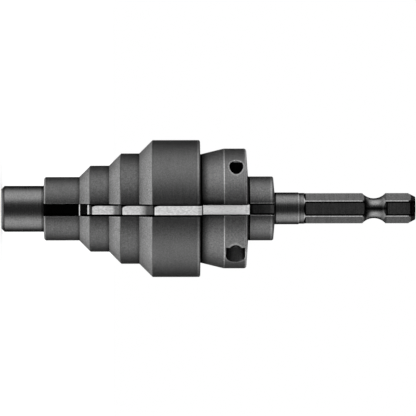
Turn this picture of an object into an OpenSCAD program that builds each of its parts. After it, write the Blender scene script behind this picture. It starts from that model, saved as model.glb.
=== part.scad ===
// Stepped conduit reamer for a power driver.
// A turned and slotted body with three guide steps is pressed on a one-piece arbor.
// The arbor's pilot nose leads the tool, and its hex shank fits a quick-change chuck.
// Two stepped blades lie in slots on opposite sides, each held by a cap screw.
// Frame: the spin axis is Z, the pilot's end face lies at z = 0 and the shank points up.
// The front blade faces -Y. Units are millimetres.

/* [Pilot nose] */
// Diameter of the pilot
pilot_d = 11.0; // [9:0.1:13]
// Length of the pilot in front of the body
pilot_len = 10.2; // [6:0.1:20]
// Width of the bevel on the pilot's end
pilot_bevel = 0.75; // [0.3:0.05:1.4]
// Rounding between that bevel and the pilot's side
pilot_round = 0.4; // [0.1:0.05:0.8]

/* [Guide steps] */
// Diameter of step 1, which guides the smallest conduit
step1_d = 15.2; // [14:0.1:15.6]
// Diameter of step 2
step2_d = 20.6; // [18:0.1:20.8]
// Diameter of step 3
step3_d = 26.4; // [24:0.02:26.6]
// Diameter of the shoulder step behind the guides
shoulder_d = 32.75; // [30:0.05:35]
// Length of step 1's cylinder
step1_len = 8.4; // [5:0.1:12]
// Length of step 2's cylinder
step2_len = 4.45; // [3.5:0.05:8]
// Length of step 3's cylinder
step3_len = 4.3; // [3.5:0.05:8]
// Length of the shoulder's cylinder
shoulder_len = 11.35; // [8:0.05:16]
// Slope of the reaming cones between the steps, in degrees from the axis
cone_angle = 45; // [35:1:55]
// Rounding of step 1's front edge
nose_round = 0.6; // [0.2:0.05:1]
// Rounding of the shoulder's rear edge
shoulder_round = 0.4; // [0.2:0.05:1]

/* [Clamp collar and hub] */
// Diameter of the collar that holds the blade screws
collar_d = 28.66; // [27.5:0.02:29.4]
// Diameter where the collar's front cone meets the shoulder
collar_root_d = 25.9; // [24:0.1:27]
// Length of the collar's front cone
collar_cone_len = 5.65; // [4:0.05:8]
// Length of the collar's cylinder
collar_len = 5.4; // [5:0.05:8]
// Rounding of the collar's rear edge
collar_round = 0.6; // [0.2:0.05:1]
// How far the collar's rear face rises from its rim to the hub
collar_crown = 0.4; // [0:0.05:1]
// Diameter of the hub behind the collar
hub_d = 15.3; // [13.5:0.02:18]
// Length of the hub behind the collar's rim
hub_len = 6.45; // [4:0.05:10]
// Rounding of the hub's rear edge
hub_round = 0.45; // [0.2:0.05:1]
// How far the hub's rear face rises from its rim to the neck
hub_crown = 0.3; // [0:0.05:0.8]

/* [Arbor] */
// Diameter of the arbor's core and neck
neck_d = 7.62; // [7.4:0.02:8.4]
// Length of the neck behind the hub
neck_len = 5.55; // [3:0.05:12]
// Length of the bevel at the neck's end
neck_bevel = 0.4; // [0.2:0.05:0.8]
// Diameter of the round land between the neck and the hex
land_d = 7.36; // [7.28:0.01:7.5]
// Length of that land
land_len = 0.95; // [0.5:0.05:3]
// Width across flats of the hex shank
hex_af = 6.35; // [6.2:0.01:6.35]
// Diameter over the hex's trimmed corners
hex_corner_d = 7.22; // [7.1:0.01:7.32]
// Length of the hex shank
hex_len = 26.75; // [24:0.05:60]
// Distance from the shank's end to the middle of its retention groove
groove_from_end = 9.88; // [9:0.02:11]
// Diameter at the bottom of the groove
groove_root_d = 4.76; // [4.5:0.02:5.2]
// Radius of the groove's rounded section
groove_r = 3.74; // [3:0.02:4.5]
// Diameter of the shank's end face
shank_tip_d = 5.46; // [4.9:0.02:6]
// Length of the bevel at the shank's end
shank_bevel = 1.7; // [1:0.05:2.4]

/* [Blades] */
// Thickness of a blade
blade_t = 2.2; // [1.8:0.05:2.4]
// Distance from the axis to the slot's floor, on which the blade sits
blade_seat = 5.2; // [4.6:0.05:5.6]
// How far the teeth lie under the guide steps
land_set = 0.06; // [0:0.02:0.2]
// Distance from the axis to the top of the blade's tail
tail_h = 12.3; // [11.9:0.05:12.6]
// How far the tail stands behind the collar's rim
tail_out = 0.6; // [0.2:0.05:1.6]
// How far the last tooth stands behind the shoulder
tooth_out = 0.4; // [0.1:0.05:0.8]
// How far a tooth's front edge lies behind the top of the cone ahead of it
tooth_set = 0.45; // [0.05:0.05:0.6]
// Width of the small bevel on that edge
tooth_bevel = 0.22; // [0.1:0.02:0.4]
// Height of the upright face under that bevel
tooth_face = 0.22; // [0.1:0.02:0.6]
// How far a tooth's land runs on past the foot of the next cone
land_run = 0.5; // [0.2:0.05:1]
// Radius of the hollow that rises to the next tooth
cove_r = 3.6; // [3:0.05:6]
// Length of the ground-off corner at a tooth's leading front end
corner_len = 1.5; // [0.5:0.05:2.4]
// Depth of that corner across the blade
corner_w = 0.6; // [0.2:0.05:0.9]
// How far the blade's toe stands ahead of the foot of the first cone
toe_lead = 0.05; // [0:0.01:0.15]
// Width of the toe land at the blade's front end
toe_len = 0.38; // [0.2:0.02:0.8]
// How far the toe land lies under step 1
toe_set = 0.3; // [0.1:0.05:0.8]
// Gap on each side of the toe land, which fills the slot
toe_gap = 0.03; // [0.01:0.01:0.1]
// Length of the narrow land ahead of the first tooth
nib_len = 0.5; // [0.3:0.05:0.8]
// Distance from that land to the first tooth's front edge
nib_back = 0.7; // [0.4:0.05:1]
// How far that land lies under step 2
nib_set = 1.35; // [1:0.05:1.8]

/* [Blade slots] */
// Gap on each side of a blade in its slot
slot_gap = 0.2; // [0.04:0.01:0.3]
// Extra width of the front slot on the trailing side, for chips
chip_room = 0.2; // [0.1:0.01:0.6]
// Width of the broken edge along the slots
edge_break = 0.15; // [0.05:0.01:0.25]

/* [Clamp screws] */
// Diameter of a screw's shank over its thread
screw_d = 3.0; // [2.5:0.1:3.2]
// Diameter of the screw's head
head_d = 3.8; // [3.8:0.05:4.2]
// Height of the screw's head
head_h = 2.6; // [1.6:0.05:2.8]
// Width across flats of the hex socket in the head
socket_af = 2.0; // [1.5:0.1:2.5]
// Depth of the hex socket
socket_depth = 1.2; // [0.6:0.05:1.5]
// Distance from the axis to the screw's centre line, along the slot
screw_at = 9.6; // [9.2:0.05:9.8]
// Lean of the screw from square to the blade, in degrees
screw_lean = 2; // [0:0.1:3]
// Tilt of the screw, which brings its threaded end nearer the shank, in degrees
screw_tilt = 0.55; // [0:0.05:1]
// Distance of the screw behind the middle of the collar's cylinder
screw_back = 0.1; // [0:0.05:0.3]
// Distance from the blade's middle plane to the head's seat
head_seat = 5.0; // [4:0.05:5.4]
// Play round the head in its bore
head_play = 0.3; // [0.1:0.05:0.5]
// Distance from the blade's middle plane to the flat that the head bore starts from
flat_at = 9.0; // [8.8:0.05:9.9]
// Width of that flat, which is open to the rim
flat_w = 4.55; // [4.5:0.05:5]
// Length of shank beyond the blade's middle plane
screw_reach = 7.6; // [5:0.1:8]
// Play of the screw in the head-side hole and in the blade
screw_play = 0.2; // [0.1:0.02:0.3]
// Diameter of the relief bore where the tapped hole comes out
relief_d = 3.25; // [3.22:0.01:3.6]

/* [Hidden] */
$fn = 96;

// Stretches of each quarter of a rounded edge, and of a blade's hollow
round_steps = 5;
cove_steps = 8;
// How far a cut runs past the surface it opens
over = 1;
// Overlap where two parts of one solid join
bite = 0.2;

pilot_r = pilot_d / 2;
step_r = [step1_d / 2, step2_d / 2, step3_d / 2, shoulder_d / 2];
step_len = [step1_len, step2_len, step3_len, shoulder_len];
collar_r = collar_d / 2;
hub_r = hub_d / 2;
neck_r = neck_d / 2;

// Height where the cylinder of step i starts and ends
function step_start(i) = i == 0 ? pilot_len : step_end(i - 1) + (step_r[i] - step_r[i - 1]) / tan(cone_angle);
function step_end(i) = step_start(i) + step_len[i];

shoulder_z = step_end(3);
collar_z = shoulder_z + collar_cone_len;
collar_end = collar_z + collar_len;
hub_end = collar_end + hub_len;
neck_start = hub_end + hub_crown;
neck_end = neck_start + neck_len;
land_z = neck_end + neck_bevel;
hex_z = land_z + land_len;
// Height where the flats' 45-degree run-outs have come down from the land to the flats
flats_z = hex_z + (land_d - hex_af) / 2;
shank_end = hex_z + hex_len;
groove_z = shank_end - groove_from_end;

slot_lead = -(blade_t / 2 + slot_gap);
slot_trail = blade_t / 2 + slot_gap;
toe_start = step_end(0) - toe_lead;
blade_step_end = shoulder_z + tooth_out;
tail_end = collar_end + tail_out;
screw_z = collar_z + collar_len / 2 + screw_back;

// Points of an arc round [cx, cy] from angle a0 to a1
function arc(cx, cy, r, a0, a1, steps = round_steps) =
    [for (k = [0:steps]) let (a = a0 + (a1 - a0) * k / steps) [cx + r * cos(a), cy + r * sin(a)]];

// Points of the arc of radius r from p to q that bulges to the right of the way from p to q
function hollow(p, q, r) =
    let (d = q - p, c = norm(d), m = (p + q) / 2)
    let (left = [-d[1], d[0]] / c, o = m + left * sqrt(r * r - c * c / 4))
    let (a0 = atan2(p[1] - o[1], p[0] - o[0]), a1 = atan2(q[1] - o[1], q[0] - o[0]))
    arc(o[0], o[1], r, a0, a1, cove_steps);

// Turned outline of the body, as [radius, height]
function body_outline() = concat(
    [[neck_r, pilot_len]],
    arc(step_r[0] - nose_round, pilot_len + nose_round, nose_round, -90, 0),
    [[step_r[0], step_end(0)], [step_r[1], step_start(1)]],
    [[step_r[1], step_end(1)], [step_r[2], step_start(2)]],
    [[step_r[2], step_end(2)], [step_r[3], step_start(3)]],
    arc(step_r[3] - shoulder_round, shoulder_z - shoulder_round, shoulder_round, 0, 90),
    [[collar_root_d / 2, shoulder_z], [collar_r, collar_z]],
    arc(collar_r - collar_round, collar_end - collar_round, collar_round, 0, 90),
    [[hub_r, collar_end + collar_crown]],
    arc(hub_r - hub_round, hub_end - hub_round, hub_round, 0, 90),
    [[neck_r, neck_start]]);

// Point on the way from p to q that is clear of the corner at p
function past(p, q) = p + (q - p) / norm(q - p) * edge_break;

// Straight stretches of the outline that the slot crosses, as [radius, height] pairs
slot_edges = [
    [[step_r[0], pilot_len + nose_round], [step_r[0], step_end(0)]],
    [[step_r[0], step_end(0)], [step_r[1], step_start(1)]],
    [[step_r[1], step_start(1)], [step_r[1], step_end(1)]],
    [[step_r[1], step_end(1)], [step_r[2], step_start(2)]],
    [[step_r[2], step_start(2)], [step_r[2], step_end(2)]],
    [[step_r[2], step_end(2)], [step_r[3], step_start(3)]],
    [[step_r[3], step_start(3)], [step_r[3], shoulder_z - shoulder_round]],
    [past([collar_root_d / 2, shoulder_z], [collar_r, collar_z]), [collar_r, collar_z]],
    [[collar_r, collar_z], [collar_r, collar_end - collar_round]],
    [past([hub_r, collar_end + collar_crown], [hub_r, hub_end]), [hub_r, hub_end - hub_round]]];
// The first stretches lie in the wide front slot
front_stretches = 7;

// Broken edges along one straight stretch of the slot in the -Y side: a shallow trapezium
module slot_edge_break(p, q, trail) {
    d = q - p;
    slope = atan2(d[0], d[1]);
    // The slot's lips lie a little under the outline, because the outline is round
    half = (trail - slot_lead) / 2;
    sag = p[0] - sqrt(p[0] * p[0] - half * half);
    // A cone's cut runs on over the corner at its wide end
    lap = slope == 0 ? 0 : edge_break;
    translate([0, -p[0] + sag, p[1]])
        rotate([slope, 0, 0])
            linear_extrude(norm(d) + lap)
                polygon([
                    [slot_lead - edge_break - over, -over],
                    [slot_lead, edge_break],
                    [trail, edge_break],
                    [trail + edge_break + over, -over]]);
}

// One blade's slot in the -Y side: wide beside the teeth, close round the tail
module blade_slot() {
    reach = step_r[3] + over;
    trail = slot_trail + chip_room;
    translate([slot_lead, -reach, pilot_len - over])
        cube([trail - slot_lead, reach - blade_seat, shoulder_z - pilot_len + over]);
    translate([slot_lead, -reach, shoulder_z - bite])
        cube([slot_trail - slot_lead, reach - blade_seat, neck_start - shoulder_z + bite + over]);
    for (i = [0:len(slot_edges) - 1])
        slot_edge_break(slot_edges[i][0], slot_edges[i][1], i < front_stretches ? trail : slot_trail);
}

// Carries its children from the screw's own frame, where the head points along +Z, to the collar
module at_screw() {
    translate([0, -screw_at, screw_z])
        rotate([0, 0, screw_lean])
            rotate([0, 90 + screw_tilt, 0])
                children();
}

// Flat open to the rim, head bore, clearance hole, tapped hole and relief bore for one screw
module screw_holes() {
    at_screw() {
        translate([0, 0, flat_at])
            cylinder(h = collar_r, d = flat_w);
        translate([-flat_w / 2, -collar_r, flat_at])
            cube([flat_w, collar_r, collar_r]);
        translate([0, 0, head_seat])
            cylinder(h = collar_r, d = head_d + head_play);
        cylinder(h = head_seat + over, d = screw_d + screw_play);
        translate([0, 0, -collar_r])
            cylinder(h = collar_r + bite, d = screw_d);
        translate([0, 0, -collar_r])
            cylinder(h = collar_r - screw_reach, d = relief_d);
    }
}

// Turned body with both slots, the screw holes and the arbor's bore
module stepped_body() {
    color("#4a4b4d")
        difference() {
            rotate_extrude()
                polygon(body_outline());
            for (turn = [0, 180])
                rotate([0, 0, turn]) {
                    blade_slot();
                    screw_holes();
                }
        }
}

// Turned outline of the arbor before its flats are cut, as [radius, height]
function arbor_outline() = concat(
    [[0, 0], [pilot_r - pilot_bevel, 0]],
    arc(pilot_r - pilot_round, pilot_bevel + pilot_round * (sqrt(2) - 1), pilot_round, -45, 0),
    [[pilot_r, pilot_len], [neck_r, pilot_len]],
    [[neck_r, neck_end], [land_d / 2, land_z], [land_d / 2, hex_z]],
    [[hex_corner_d / 2, flats_z], [hex_corner_d / 2, shank_end - shank_bevel]],
    [[shank_tip_d / 2, shank_end], [0, shank_end]]);

// Cutter of the flat that faces +X, with its run-out into the round land
module flat_cut() {
    rotate([90, 0, 0])
        linear_extrude(hex_af * 2, center = true)
            polygon([
                [hex_af / 2, flats_z],
                [land_d / 2 + over, hex_z - over],
                [land_d / 2 + over, shank_end + over],
                [hex_af / 2, shank_end + over]]);
}

// Ring that cuts the round-bottomed retention groove
module groove_ring() {
    rotate_extrude()
        translate([groove_root_d / 2 + groove_r, groove_z])
            circle(r = groove_r);
}

// One-piece arbor: pilot nose, core, neck and hex shank
module arbor() {
    color("#3a3b3d")
        difference() {
            rotate_extrude()
                polygon(arbor_outline());
            for (turn = [30:60:330])
                rotate([0, 0, turn])
                    flat_cut();
            groove_ring();
        }
}

// Distance from the axis to the land of tooth i, which runs just under its guide step
function land_r(i) = step_r[i] - land_set;
// Height of the front end of tooth i
function tooth_z(i) = step_start(i) + tooth_set;
// Height where the land of tooth i ends
function land_end(i) = step_end(i) + land_run;
// Distance from the axis to the foot of the upright face of tooth i
function foot_r(i) = land_r(i) - tooth_bevel - tooth_face;
toe_r = step_r[0] - toe_set;
nib_r = step_r[1] - nib_set;
nib_z = tooth_z(1) - nib_back - nib_len;

// Stepped cutting outline of a blade, as [height along the axis, distance from the axis]
function blade_outline() = concat(
    [[toe_start, blade_seat], [toe_start, toe_r], [toe_start + toe_len, toe_r]],
    [[nib_z, nib_r], [nib_z + nib_len, nib_r]],
    [for (i = [1:3]) each concat(
        [[tooth_z(i), land_r(i) - tooth_bevel], [tooth_z(i) + tooth_bevel, land_r(i)]],
        i < 3 ? hollow([land_end(i), land_r(i)], [tooth_z(i + 1), foot_r(i + 1)], cove_r) : [])],
    [[blade_step_end, land_r(3)], [blade_step_end, tail_h]],
    [[tail_end, tail_h], [tail_end, blade_seat]]);

// Cutter that takes off the leading front corner of tooth i above the step in front of it
module corner_cut(i) {
    translate([0, -step_r[i - 1] - land_set, tooth_z(i) - tooth_bevel])
        rotate([90, 0, 0])
            linear_extrude(step_r[3])
                polygon(concat(
                    [[-blade_t, 0]],
                    [[-blade_t / 2 + corner_w, 0]],
                    [for (k = [0:round_steps]) let (a = 90 * k / round_steps)
                        [-blade_t / 2 + corner_w * (1 - sin(a)), tooth_bevel + corner_len * (1 - cos(a))]],
                    [[-blade_t, tooth_bevel + corner_len]]));
}

// Stepped blade plate of the -Y side with its screw hole
module blade() {
    color("#c9cacc")
        difference() {
            union() {
                rotate([0, -90, 0])
                    linear_extrude(blade_t, center = true)
                        polygon([for (p = blade_outline()) [p[0], -p[1]]]);
                translate([slot_lead + toe_gap, -toe_r, toe_start])
                    cube([slot_trail + chip_room - slot_lead - toe_gap * 2, toe_r - blade_seat, toe_len]);
            }
            for (i = [1:3])
                corner_cut(i);
            at_screw()
                cylinder(h = blade_t * 2, d = screw_d + screw_play, center = true);
        }
}

module blade_front() {
    blade();
}

module blade_back() {
    rotate([0, 0, 180])
        blade();
}

// Socket cap screw across the slot, with its head in the trailing side's pocket
module clamp_screw() {
    color("#2c2d2f")
        at_screw()
            difference() {
                union() {
                    translate([0, 0, -screw_reach])
                        cylinder(h = screw_reach + head_seat + bite, d = screw_d);
                    translate([0, 0, head_seat])
                        cylinder(h = head_h, d = head_d);
                }
                translate([0, 0, head_seat + head_h - socket_depth])
                    cylinder(h = socket_depth + over, d = socket_af / cos(30), $fn = 6);
            }
}

module clamp_screw_front() {
    clamp_screw();
}

module clamp_screw_back() {
    rotate([0, 0, 180])
        clamp_screw();
}

stepped_body();
arbor();
blade_front();
blade_back();
clamp_screw_front();
clamp_screw_back();
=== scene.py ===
"""Looks of a stepped conduit reamer: black-oxide body and arbor, ground blades, black clamp screws.

The tool stands on its pilot nose, with its axis along Z and its front blade towards -Y. The camera
looks along +Y from far away, rolled a quarter turn, so that the nose points to the picture's left.
"""

import math

import bpy
from mathutils import Matrix, Vector

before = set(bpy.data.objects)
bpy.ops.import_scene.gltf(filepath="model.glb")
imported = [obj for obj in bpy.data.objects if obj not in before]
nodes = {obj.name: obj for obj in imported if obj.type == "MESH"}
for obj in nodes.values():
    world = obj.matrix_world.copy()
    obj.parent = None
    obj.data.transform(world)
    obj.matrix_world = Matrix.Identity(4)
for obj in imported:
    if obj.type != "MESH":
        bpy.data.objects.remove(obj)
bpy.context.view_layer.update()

MM = 0.001


# Places on the tool that a finish depends on, in millimetres: Z up from the pilot's end, X from the
# blade's middle plane, with the chip room on its positive side, and -Y outwards from the axis

# Heights where a stretch of the body or the arbor starts or ends
NOSE = 10.2
STEP_1_END = 18.6
STEP_2 = 21.3
STEP_3 = 28.65
SHOULDER = 36.125
SHOULDER_END = 47.475
COLLAR = 53.125
COLLAR_END = 58.525
HUB_END = 64.975
NECK_ROOT = 65.6
NECK_END = 70.85
FLATS = 72.3
GROOVE = 86.7
GROOVE_END = 92.0
TIP = 97.7
CONES = ((18.75, 21.1), (25.8, 28.38), (32.98, 36.02))

# Arbor
RIDGE_R = 3.59  # past it the hex's corners are turned round
MIDDLE_FLAT = 1.75  # half width of the flat that faces a blade

# Slot
SLOT_HALF = 1.38  # over its broken edges
SLOT_FLOOR = 5.15  # from the axis
SLOT_CORNER = 1.0  # where the painted shade in the floor's corners starts
CHIP_ROOM = 0.2

# Cross hole, with the screw's head in the pocket and a relief bore on the other side
SCREW_POINT = (0.0, -9.6, 55.925)
SCREW_AXIS = (0.99935, 0.0349, -0.0096)
RELIEF_R = 1.65
RELIEF_MOUTH = 11.2  # how far towards -X the painted light in its mouth starts
POCKET_R = 2.3
POCKET_DEPTHS = (-8.5, -7.35)  # Y over which painted light in the pocket grows

# Blade
TOE = (18.63, 18.85)
NIB = (20.66, 21.06)
TOOTH_2 = 29.0  # front edge, with a painted highlight
TOOTH_3 = 36.6
TAIL = 47.87
TAIL_END = 58.5
BLADE_EDGE = 1.1  # half the plate's thickness
LEAD_CORNER = (0.6, 1.5)  # width and length of the painted shade over each tooth's leading front corner

# Darkest and lightest grey of each finish's grain, and the black metals' grey at a grazing angle
BODY_OXIDE = (0.09, 0.17)
ARBOR_OXIDE = (0.095, 0.165)
SCREW_OXIDE = (0.08, 0.12)
GROUND_STEEL = (0.5, 0.8)
GRAZING_GREY = 0.3

# Roughness, for body and arbor where the grain is low and where it is high
BODY_ROUGH = (0.43, 0.52)
ARBOR_ROUGH = (0.27, 0.34)
BLADE_ROUGH = 0.5
SCREW_ROUGH = 0.4

# Tones of the body, as shares of the oxide's own. Cone 4's lift is painted light, as on the other
# cones
STEP_TONE = 0.84
CONE_4_LIGHT = 1.28
CLAMP_TONE = 1.12

# Shares of the light that painted shades take
BLACK = 0.95
ROOT_SHADE = 0.72  # behind the shoulder
FOOT_SHADE = 0.45  # just under a cone
BORDER_SHADE = 0.93  # lines round the flat that faces a blade
FLAT_SHADE = 0.22  # that flat itself
TAIL_SHADE = 0.35  # end of a blade's tail

# Shares of the light that painted highlights and painted light add
CONE_GAIN = (0.95, 1.5)  # at a cone's foot and at its top
RIM_GAIN = 0.6  # rim of a cross hole
MOUTH_GAIN = 5.0  # mouth of the relief bore
POCKET_GAIN = 0.85
HUB_EDGE_GAIN = 3.2  # slot's edges on the hub
CONE_EDGE_GAIN = 0.35
STEP_EDGE_GAIN = 0.25
FLAT_GAIN = 1.0  # hex's flats
CORNER_GAIN = 1.4  # hex's turned corners

# Slot's floor: heights over which its painted shade falls off behind the collar, with the shade
# before and after it, then the same for its painted light along the hub
SLOT_FLOOR_SHADE = (COLLAR_END + 1.0, COLLAR_END + 2.0, BLACK, 0.1)
SLOT_FLOOR_GAIN = (61.0, 64.0, 0.0, 0.5)

# Each row of a table of rings: start, end, blur, and by what share the ring is lighter or darker.
# The narrow rings are painted highlights on edges and painted shade in gaps, grooves and roots. Of
# the broad ones, the blade's tail ring is painted light, and the others change the tone of a
# stretch
BODY_RINGS = (
    (NOSE + 0.05, NOSE + 0.4, 0.06, 2.0),
    (SHOULDER_END - 0.7, SHOULDER_END - 0.08, 0.1, 0.75),
    (SHOULDER_END - 0.02, SHOULDER_END + 0.5, 0.05, -0.9),
    (COLLAR - 0.08, COLLAR + 0.15, 0.06, 1.9),
    (COLLAR_END - 0.6, COLLAR_END - 0.3, 0.08, 0.6),
    (COLLAR_END - 0.32, COLLAR_END + 0.18, 0.05, 3.7),
    (COLLAR_END + 0.19, COLLAR_END + 0.86, 0.05, -0.98),
    (COLLAR_END + 0.88, COLLAR_END + 1.1, 0.06, 0.3),
    (COLLAR_END, HUB_END, 0.05, -0.08),
    (HUB_END - 0.75, HUB_END - 0.02, 0.08, 0.65),
    (HUB_END + 0.02, HUB_END + 0.5, 0.04, -0.95),
)
ARBOR_RINGS = (
    (-1.0, 0.2, 0.08, 0.9),
    (0.4, 0.85, 0.1, -0.5),
    (0.9, NOSE - 0.6, 0.1, 0.12),
    (NOSE - 0.6, NOSE, 0.1, -0.5),
    (HUB_END - 0.5, NECK_ROOT, 0.1, -0.95),
    (NECK_END, NECK_END + 0.3, 0.05, 2.4),
    (NECK_END + 0.4, NECK_END + 0.65, 0.06, -0.35),
    (GROOVE - 0.05, GROOVE + 0.5, 0.15, -0.7),
    (TIP + 0.1, TIP + 5.0, 0.05, -0.8),
)
BLADE_RINGS = (
    (TOE[0] - 0.1, TOE[1] + 0.1, 0.02, 0.7),
    (NIB[0] - 0.1, NIB[1] + 0.1, 0.02, 0.5),
    (TOOTH_2, TOOTH_2 + 0.35, 0.05, 0.25),
    (TOOTH_3, TOOTH_3 + 0.35, 0.05, 0.25),
    (TAIL - 0.9, TAIL - 0.1, 0.1, -0.28),
    (TAIL - 0.08, TAIL + 0.26, 0.04, -0.9),
    (TAIL + 0.3, TAIL_END + 5.0, 0.05, 0.6),
)

# Stretches of a blade painted black as shade: start, end and how black
BLACK_STRETCHES = (
    (0.0, TOE[0], 1.0),
    (TOE[1], NIB[0], 0.995),
    (NIB[1], 21.8, 0.93),
    (28.62, 28.98, 0.98),
    (36.26, 36.64, 0.99),
)
# Hollows that rise to teeth 2 and 3, with painted shade in two stages: start, end and share of the
# first, the same of the second, and where the painted black root starts
COVES = (
    (26.4, 27.5, 0.7, 27.9, 28.4, 0.22, 28.62),
    (33.0, 35.2, 0.87, 35.6, 36.1, 0.05, 36.26),
)
# Teeth of a blade: front edge, end, and width of the painted shade along the leading edge, which
# makes it look ground back
TEETH = ((21.75, 28.0, 0.19), (29.1, 35.5, 0.16), (36.575, 47.8, 0.11))

# Painted shade darkens the body beside a slot. Each row: start, end, share and reach of the shade
# on the leading side, then the same on the chip side
SLOT_SHADES = (
    (STEP_2, 25.75, 0.4, 0.9, 0.4, 0.6),
    (STEP_3, 32.95, 0.35, 0.7, 0.0, 1.0),
    (SHOULDER, SHOULDER_END, 0.6, 0.3, 0.3, 0.2),
    (SHOULDER_END, COLLAR, 0.9, 1.9, 0.6, 1.3),
    (COLLAR, COLLAR_END, 0.62, 1.2, 0.0, 1.0),
    (COLLAR_END, HUB_END, 0.5, 1.0, 0.45, 2.6),
)


# Node expressions

# Order of the Mix node's colour sockets, whose names its other sockets share
MIX_COLOURS = (6, 7)
MIX_RESULT = 2

# How much of a normal lies along the tool's axis on an end face, and roughness of the clouds
END_FACE = 0.95
CLOUD_ROUGH = 0.55


class Sock:
    """A node's output socket, on which the Python operators build Math nodes."""

    def __init__(self, tree, value):
        self.tree = tree
        self.value = value

    def _math(self, operation, *others):
        return self.tree.node("ShaderNodeMath", {"operation": operation}, [self, *others])

    def __add__(self, other):
        return self._math("ADD", other)

    def __sub__(self, other):
        return self._math("SUBTRACT", other)

    def __mul__(self, other):
        return self._math("MULTIPLY", other)

    def __truediv__(self, other):
        return self._math("DIVIDE", other)

    __radd__ = __add__
    __rmul__ = __mul__

    def __rsub__(self, other):
        return self._math("MULTIPLY_ADD", -1.0, other)

    def power(self, exponent):
        return self._math("POWER", exponent)

    def largest(self, other):
        return self._math("MAXIMUM", other)

    def smallest(self, other):
        return self._math("MINIMUM", other)

    def size(self):
        return self._math("ABSOLUTE")

    def sign(self):
        return self._math("SIGN")

    def turn_from(self, other):
        """Angle in degrees whose sine and cosine are this value and other."""
        return self._math("ARCTAN2", other) * (180.0 / math.pi)

    def above(self, limit):
        """1 where this value is above limit, else 0."""
        return self._math("GREATER_THAN", limit)

    def band(self, low, high, blur=0.06):
        """1 between low and high, with a blurred start and end, else 0."""
        return self.ramp(low - blur, low + blur) * self.ramp(high - blur, high + blur, 1.0, 0.0)

    def ramp(self, low, high, out_low=0.0, out_high=1.0):
        """Smooth rise from out_low, where this value is low, to out_high, where it is high."""
        settings = {"interpolation_type": "SMOOTHSTEP"}
        inputs = [self, low, high, out_low, out_high]
        return self.tree.node("ShaderNodeMapRange", settings, inputs)


class Nodes:
    """A node tree, to which node() adds every node."""

    def __init__(self, tree):
        self.tree = tree

    def node(self, kind, settings=None, inputs=(), output=0):
        """Adds a node, sets its settings first and then its sockets, by order or by name.

        Gives the output of that order or name, or a list of outputs for a tuple of them.
        """
        made = self.tree.nodes.new(kind)
        for key, value in (settings or {}).items():
            setattr(made, key, value)
        pairs = inputs.items() if isinstance(inputs, dict) else enumerate(inputs)
        for key, value in pairs:
            self.link(made.inputs[key], value)
        if isinstance(output, tuple):
            return [Sock(self, made.outputs[key]) for key in output]
        return None if output is None else Sock(self, made.outputs[output])

    def link(self, socket, value):
        if isinstance(value, Sock):
            self.tree.links.new(value.value, socket)
        else:
            socket.default_value = value

    def split(self, point):
        """X, Y and Z of a vector."""
        return self.node("ShaderNodeSeparateXYZ", None, [point], ("X", "Y", "Z"))

    def tone(self, value):
        """Grey of that brightness, from 0 to 1, by a mix of black and white."""
        inputs = {"Factor": value, MIX_COLOURS[0]: grey(0.0), MIX_COLOURS[1]: grey(1.0)}
        return self.node("ShaderNodeMix", {"data_type": "RGBA"}, inputs, MIX_RESULT)


class Finish(Nodes):
    """One material, whose constants are set on the shader's own sockets."""

    def __init__(self, name, **constants):
        self.material = bpy.data.materials.new(name)
        self.material.use_nodes = True
        super().__init__(self.material.node_tree)
        self.shader = self.tree.nodes["Principled BSDF"]
        for key, value in constants.items():
            self.drive(key.replace("_", " "), value)

    def drive(self, name, value):
        """Feeds one of the shader's sockets."""
        self.link(self.shader.inputs[name], value)

    def place(self):
        """Object coordinates in millimetres, together and as X, Y and Z.

        A point of the back half is turned half a turn about the axis, onto the front half, which
        is alike: the blade's middle is then at X = 0, its chip room towards +X, and -Y outwards.
        """
        coordinates = self.node("ShaderNodeTexCoord", output="Object")
        scale = {"Vector": coordinates, "Scale": 1 / MM}
        x, y, z = self.split(self.node("ShaderNodeVectorMath", {"operation": "SCALE"}, scale))
        turn = y.sign() * -1.0
        x *= turn
        y *= turn
        return self.node("ShaderNodeCombineXYZ", None, [x, y, z]), x, y, z

    def sides(self):
        """0 on the faces that look along the axis, else 1."""
        along = self.split(self.node("ShaderNodeNewGeometry", output="True Normal"))[2]
        return 1.0 - along.size().above(END_FACE)

    def noise(self, point, per_mm, detail=3.0, squeeze=(1.0, 1.0, 1.0)):
        """Cloud noise about 0.5, with per_mm clouds to the millimetre, times squeeze per axis."""
        scaled = self.node("ShaderNodeVectorMath", {"operation": "MULTIPLY"}, [point, squeeze])
        inputs = {"Vector": scaled, "Scale": per_mm, "Detail": detail, "Roughness": CLOUD_ROUGH}
        return self.node("ShaderNodeTexNoise", None, inputs)

    def reach(self, point, centre, axis):
        """Distance of point from the straight line through centre along axis, a unit vector."""
        arm = self.node("ShaderNodeVectorMath", {"operation": "SUBTRACT"}, [point, centre])
        across = self.node("ShaderNodeVectorMath", {"operation": "CROSS_PRODUCT"}, [arm, axis])
        return self.node("ShaderNodeVectorMath", {"operation": "LENGTH"}, [across], "Value")

    def bump(self, height, depth, normal):
        """Normal of a surface whose height runs from 0 to depth millimetres over that normal."""
        inputs = {"Strength": 1.0, "Distance": depth * MM, "Height": height, "Normal": normal}
        return self.node("ShaderNodeBump", None, inputs)

    def soft_edge(self, radius):
        """Normal that is rounded over each sharp edge within radius millimetres."""
        return self.node("ShaderNodeBevel", {"samples": 8}, {"Radius": radius * MM})


def grey(value):
    """Opaque grey."""
    return (value, value, value, 1.0)


def rings(light, z, sides, table):
    """Light that a table of rings, mostly painted highlights and painted shade, makes lighter or
    darker, except on the end faces.
    """
    for low, high, blur, lift in table:
        light *= 1.0 + z.band(low, high, blur) * sides * lift
    return light


# Finishes

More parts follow.
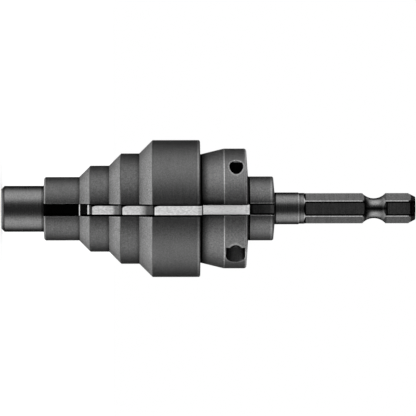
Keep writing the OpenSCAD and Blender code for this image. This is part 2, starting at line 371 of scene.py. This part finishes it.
def body_steel():
    """Black oxide over turned steel: matte, with a fine grain.

    Painted light makes the cones lighter towards their top edge. Painted shade darkens the corners
    below the cones, the slots and the body beside them, the cross holes and the roots behind the
    shoulder and the collar, and painted highlights lighten the edges.
    """
    body = Finish("body_finish", Metallic=1.0, Specular_Tint=grey(GRAZING_GREY))
    point, x, y, z = body.place()
    grain = body.noise(point, per_mm=5.0, detail=2.0)
    speck = body.noise(point, per_mm=2.6, detail=1.0)
    bloom = body.noise(point, per_mm=0.22, detail=2.0)
    turning = body.noise(point, per_mm=1.0, detail=2.0, squeeze=(0.15, 0.15, 3.0))
    light = grain.ramp(0.25, 0.75, *BODY_OXIDE) * (0.75 + turning * 0.3 + bloom * 0.2)
    light *= 1.0 + (speck - 0.5) * (0.8 - z.band(SHOULDER, SHOULDER_END) * 0.42)

    behind = z.above(SHOULDER_END)
    # Tone of each stretch; the lift on the collar's cone is painted light
    light *= STEP_TONE + behind * (CLAMP_TONE - STEP_TONE) + z.band(SHOULDER_END, COLLAR) * (
        CONE_4_LIGHT - CLAMP_TONE)
    # Painted shade in the root behind the shoulder
    light *= 1.0 - behind * z.ramp(SHOULDER_END, SHOULDER_END + 2.3, ROOT_SHADE, 0.0)
    light = rings(light, z, body.sides(), BODY_RINGS)
    # Painted light on each cone, growing towards its top, and painted shade just under its foot
    on_cone = 0.0
    for low, high in CONES:
        cone = z.band(low, high, 0.04)
        light *= 1.0 + cone * z.ramp(low - 0.5, high, *CONE_GAIN)
        light *= 1.0 - z.ramp(low - 1.1, low - 0.05) * (1.0 - z.above(low)) * FOOT_SHADE
        on_cone += cone

    # Cross holes: painted shade inside, a painted highlight on the rim, and painted light in the
    # relief bore's mouth and deep in the pocket. The pocket is on the chip side
    chip_half = x.above(0.0)
    gap = body.reach(point, SCREW_POINT, SCREW_AXIS) - chip_half * (POCKET_R - RELIEF_R) - RELIEF_R
    light *= 1.0 + gap.band(0.02, 0.3, 0.06) * behind * RIM_GAIN
    mouth = (x * -1.0).above(RELIEF_MOUTH)
    light *= 1.0 + (1.0 - gap.above(0.0)) * (
        mouth * MOUTH_GAIN - BLACK + chip_half * y.ramp(*POCKET_DEPTHS, 0.0, POCKET_GAIN))

    # Slots: painted shade on the floor and in its corners, painted light on the floor along the
    # hub, painted highlights on the edges on the cones, step 1 and the hub, and painted shade
    # beside them
    over = (x - (1.0 - behind) * CHIP_ROOM - SLOT_HALF).largest(x * -1.0 - SLOT_HALF)
    outside = over.above(0.0)
    inside = (1.0 - outside) * (y * -1.0).above(SLOT_FLOOR)
    light *= 1.0 - inside * (z.ramp(*SLOT_FLOOR_SHADE) - z.ramp(*SLOT_FLOOR_GAIN))
    light *= 1.0 - inside * x.size().ramp(SLOT_CORNER - 0.05, SLOT_CORNER + 0.05) * BLACK
    light *= 1.0 + over.band(0.0, 0.18, 0.03) * z.above(COLLAR_END + 0.9) * HUB_EDGE_GAIN
    light *= 1.0 + over.band(-0.06, 0.2, 0.03) * (
        on_cone * CONE_EDGE_GAIN + z.band(NOSE + 0.4, STEP_1_END) * STEP_EDGE_GAIN)
    for low, high, lead, lead_reach, chip, chip_reach in SLOT_SHADES:
        lead_side = (1.0 - chip_half) * over.ramp(0.0, lead_reach, lead, 0.0)
        chip_side = chip_half * over.ramp(0.0, chip_reach, chip, 0.0)
        light *= 1.0 - z.band(low, high, 0.05) * outside * (lead_side + chip_side)

    body.drive("Base Color", body.tone(light))
    body.drive("Roughness", grain.ramp(0.3, 0.7, *BODY_ROUGH))
    body.drive("Normal", body.bump(grain, depth=0.01, normal=body.soft_edge(radius=0.16)))
    return body.material


def arbor_steel():
    """Black oxide over ground steel: smoother than the body, with faint rings.

    Painted light makes the flats lighter, and painted shade darkens the one that faces each blade,
    with a darker border. Painted shade darkens the neck's root, the flats' run-outs and the tip,
    and painted highlights lighten the pilot's nose and the neck's bevel.
    """
    arbor = Finish("arbor_finish", Metallic=1.0, Specular_Tint=grey(GRAZING_GREY))
    point, x, y, z = arbor.place()
    drawn = arbor.noise(point, per_mm=1.0, squeeze=(0.2, 0.2, 5.0))
    grain = arbor.noise(point, per_mm=4.0, detail=2.0)
    light = grain.ramp(0.25, 0.75, *ARBOR_OXIDE) * (0.8 + drawn * 0.4)
    light = rings(light, z, arbor.sides(), ARBOR_RINGS)

    # Painted light on the hex's flats and turned corners; painted shade on the flats' run-outs and
    # on the flat that faces a blade, with darker lines round it
    cut = 1.0 - (x * x + y * y).power(0.5).above(RIDGE_R)
    light *= 1.0 + z.above(FLATS) * (CORNER_GAIN - cut * (CORNER_GAIN - FLAT_GAIN))
    light *= 1.0 - cut * z.band(FLATS - 0.1, FLATS + 0.45, 0.05) * BLACK
    wide = x.size()
    on_middle = wide.ramp(MIDDLE_FLAT - 0.05, MIDDLE_FLAT, 1.0, 0.0)
    border = wide.band(MIDDLE_FLAT - 0.42, MIDDLE_FLAT, 0.08) + on_middle * (
        z.band(GROOVE_END - 0.1, GROOVE_END + 0.3, 0.1) + z.band(TIP - 0.15, TIP + 0.3, 0.1))
    on_flat = cut * z.above(FLATS) * (1.0 - z.band(GROOVE, GROOVE_END - 0.15, 0.05))
    light *= 1.0 - border.smallest(1.0) * on_flat * BORDER_SHADE
    light *= 1.0 - on_middle * on_flat * FLAT_SHADE

    # Painted shade darkens the groove, most of all along its middle, and the groove is a little
    # smoother
    hollow = z.band(GROOVE, GROOVE_END, 0.1)
    light *= 1.0 - hollow * (0.3 + wide.ramp(0.1, 0.6, 0.6, 0.0))
    arbor.drive("Base Color", arbor.tone(light))
    arbor.drive("Roughness", drawn.ramp(0.3, 0.7, *ARBOR_ROUGH) - hollow * 0.06)
    arbor.drive("Normal", arbor.bump(drawn, depth=0.003, normal=arbor.soft_edge(radius=0.14)))
    return arbor.material


def blade_steel():
    """Ground tool steel, light on the lands, with painted highlights on its edges and painted
    shade, down to black, in its hollows and on the stretches before and between the teeth.
    """
    blade = Finish("blade_finish", Roughness=BLADE_ROUGH)
    point, x, _, z = blade.place()
    marks = blade.noise(point, per_mm=3.2, squeeze=(1.0, 1.0, 0.5))
    # Painted highlight along the plate's edges, stronger on the tail
    edge_highlight = x.size().ramp(0.72, 0.92) * (0.2 + z.above(TAIL) * 0.15)
    light = marks.ramp(0.25, 0.75, *GROUND_STEEL) * (1.0 + edge_highlight)
    light = rings(light, z, blade.sides(), BLADE_RINGS)
    # Painted shade in the hollows that rise to teeth 2 and 3
    for start, fall, depth, start_2, fall_2, depth_2, root in COVES:
        hollow = z.ramp(start, fall, 0.0, depth) + z.ramp(start_2, fall_2, 0.0, depth_2)
        light *= 1.0 - hollow * (1.0 - z.above(root))
    # Painted shade at the tail's end
    light *= 1.0 - z.ramp(TAIL_END - 0.8, TAIL_END, 0.0, TAIL_SHADE)

    # Painted shade, down to black: the black stretches, and on each tooth a band past its leading
    # edge and over its leading front corner
    painted_black = 0.0
    for low, high, black in BLACK_STRETCHES:
        painted_black += z.band(low, high, 0.02) * black
    corner_wide, corner_long = LEAD_CORNER
    for start, end, back in TEETH:
        along = (start + corner_long - z).largest(0.0) / corner_long
        across = (x * -1.0 - (BLADE_EDGE - corner_wide)) / (corner_wide - back)
        beyond = (along * along + across * across) * across.above(0.0)
        painted_black = painted_black.largest(beyond.ramp(0.92, 1.12) * z.band(start - 0.1, end, 0.05))
    blade.drive("Base Color", blade.tone(light * (1.0 - painted_black)))
    blade.drive("Metallic", painted_black)
    blade.drive("Normal", blade.bump(marks, depth=0.008, normal=blade.soft_edge(radius=0.1)))
    return blade.material


def screw_steel():
    """Black oxide on the clamp screws, with a faint grain."""
    screw = Finish(
        "screw_finish", Metallic=1.0, Roughness=SCREW_ROUGH, Specular_Tint=grey(GRAZING_GREY))
    grain = screw.noise(screw.place()[0], per_mm=4.0)
    screw.drive("Base Color", screw.tone(grain.ramp(0.3, 0.7, *SCREW_OXIDE)))
    return screw.material


def paint(material, *names):
    """Gives CAD nodes their finish."""
    for name in names:
        nodes[name].data.materials.clear()
        nodes[name].data.materials.append(material)


paint(body_steel(), "stepped_body")
paint(arbor_steel(), "arbor")
paint(blade_steel(), "blade_front", "blade_back")
paint(screw_steel(), "clamp_screw_front", "clamp_screw_back")


# Camera: distances in metres, the sensor in millimetres

PICTURE = 416  # width and height in pixels
PIXELS_PER_MM = 4.18
NOSE_COLUMN = 1.6
AXIS_ROW = 208.55
CAMERA_DISTANCE = 1.3
CLIP_RANGE = (0.1, 20.0)
SENSOR = 36.0
CAMERA_TURN = math.radians(1.5)  # about the tool's axis
CAMERA_YAW = math.radians(0.5)  # along the tool's axis
CAMERA_ROLL = math.radians(0.1)


def add_camera():
    """Long lens that looks along +Y, turned a little about the tool's axis, with -X up."""
    across = PICTURE / PIXELS_PER_MM * MM
    data = bpy.data.cameras.new("camera")
    data.sensor_width = SENSOR
    data.lens = SENSOR * CAMERA_DISTANCE / across
    data.clip_start, data.clip_end = CLIP_RANGE
    middle_z = (PICTURE / 2 - NOSE_COLUMN) / PIXELS_PER_MM * MM
    rise = (AXIS_ROW - PICTURE / 2) / PIXELS_PER_MM * MM
    spin = Matrix.Rotation(-CAMERA_TURN, 4, "Z")
    tip = Matrix.Rotation(CAMERA_YAW, 4, "X")
    back = (spin @ tip @ Vector((0.0, -1.0, 0.0, 0.0))).to_3d()
    up = (spin @ Vector((-1.0, 0.0, 0.0, 0.0))).to_3d()
    right = up.cross(back)
    target = Vector((0.0, 0.0, middle_z)) + up * rise
    camera = bpy.data.objects.new("camera", data)
    bpy.context.scene.collection.objects.link(camera)
    turn = Matrix((right, up, back)).transposed().to_4x4() @ Matrix.Rotation(-CAMERA_ROLL, 4, "Z")
    camera.matrix_world = Matrix.Translation(target + back * CAMERA_DISTANCE) @ turn
    bpy.context.scene.camera = camera


add_camera()


# Light: a long soft box on each side, a dark camera side, a pale ground and a pale back above

BOX_LIGHT = 1.9
GROUND_LIGHT = 1.7
FRONT_LIGHT = 0.1
TOP_LIGHT = 0.9
PLAIN_LIGHT = 1.0

# Where the boxes start and end, in degrees from the camera's side, and along Z
BOX_START = (22, 62)
BOX_END = (80, 135)
BOX_LEAN = 0.05  # by which the box towards -X is stronger
LOW_FADE = (-0.9, -0.2)
LOW_SHARE = 0.4  # what is left of a box below that fade
HIGH_FADE = (0.2, 0.72)

# Where the other lights start, along their own direction
GROUND_BACK = 0.45  # the ground's middle lies that much backwards
GROUND_DOWN = 0.9  # and that much down
GROUND_FADE = (0.5, 0.9)
FRONT_FADE = (0.3, 0.9)
TOP_FADE = (0.22, 0.5)
BACK_FADE = (0.2, 0.6)


def add_world():
    """Studio that the metals reflect, with plain light for all else and white for the camera.

    A direction's X, Y and Z run from -1 to 1: -Y towards the camera and Z towards the shank's end.
    """
    world = bpy.data.worlds.new("studio")
    bpy.context.scene.world = world
    world.use_nodes = True
    world.node_tree.nodes.clear()
    studio = Nodes(world.node_tree)
    x, y, z = studio.split(studio.node("ShaderNodeTexCoord", output="Generated"))
    away = x.turn_from(y * -1.0).size()
    side = away.ramp(*BOX_START) * away.ramp(*BOX_END, 1.0, 0.0) * (1.0 - x * BOX_LEAN)
    upright = z.ramp(*LOW_FADE, LOW_SHARE, 1.0) * z.ramp(*HIGH_FADE, 1.0, 0.0)
    ground = (y * GROUND_BACK - z * GROUND_DOWN).ramp(*GROUND_FADE)
    front = (y * -1.0).ramp(*FRONT_FADE)
    top = z.ramp(*TOP_FADE) * y.ramp(*BACK_FADE)
    seen = side * upright * BOX_LIGHT
    for part in (ground * GROUND_LIGHT, front * FRONT_LIGHT, top * TOP_LIGHT):
        seen = seen.largest(part)
    rays = ("Is Camera Ray", "Is Transmission Ray", "Is Glossy Ray")
    camera, through, glossy = studio.node("ShaderNodeLightPath", output=rays)
    strength = camera.largest(through).largest(glossy * seen + (1.0 - glossy) * PLAIN_LIGHT)
    light = studio.node("ShaderNodeBackground", None, {"Color": grey(1.0), "Strength": strength})
    studio.node("ShaderNodeOutputWorld", None, {"Surface": light}, None)


add_world()


# Floor

FLOOR_REACH = 3.0  # half its width, in metres
FLOOR_GREY = 0.86
FLOOR_ROUGH = 0.9
FLOOR_GLOW = 0.35  # its own light, which only the camera sees


def add_floor():
    """Plain pale floor at the pilot's end face, which stays white where nothing shades it."""
    low, high = -FLOOR_REACH, FLOOR_REACH
    corners = [(low, low, 0), (high, low, 0), (high, high, 0), (low, high, 0)]
    mesh = bpy.data.meshes.new("floor")
    mesh.from_pydata(corners, [], [(0, 1, 2, 3)])
    floor = bpy.data.objects.new("floor", mesh)
    bpy.context.scene.collection.objects.link(floor)
    paper = Finish(
        "floor_white", Base_Color=grey(FLOOR_GREY), Roughness=FLOOR_ROUGH, Emission_Strength=1.0)
    camera = paper.node("ShaderNodeLightPath", output="Is Camera Ray")
    paper.drive("Emission Color", paper.tone(camera * FLOOR_GLOW))
    mesh.materials.append(paper.material)
    floor.visible_glossy = False


add_floor()

scene = bpy.context.scene
scene.view_settings.view_transform = "Standard"
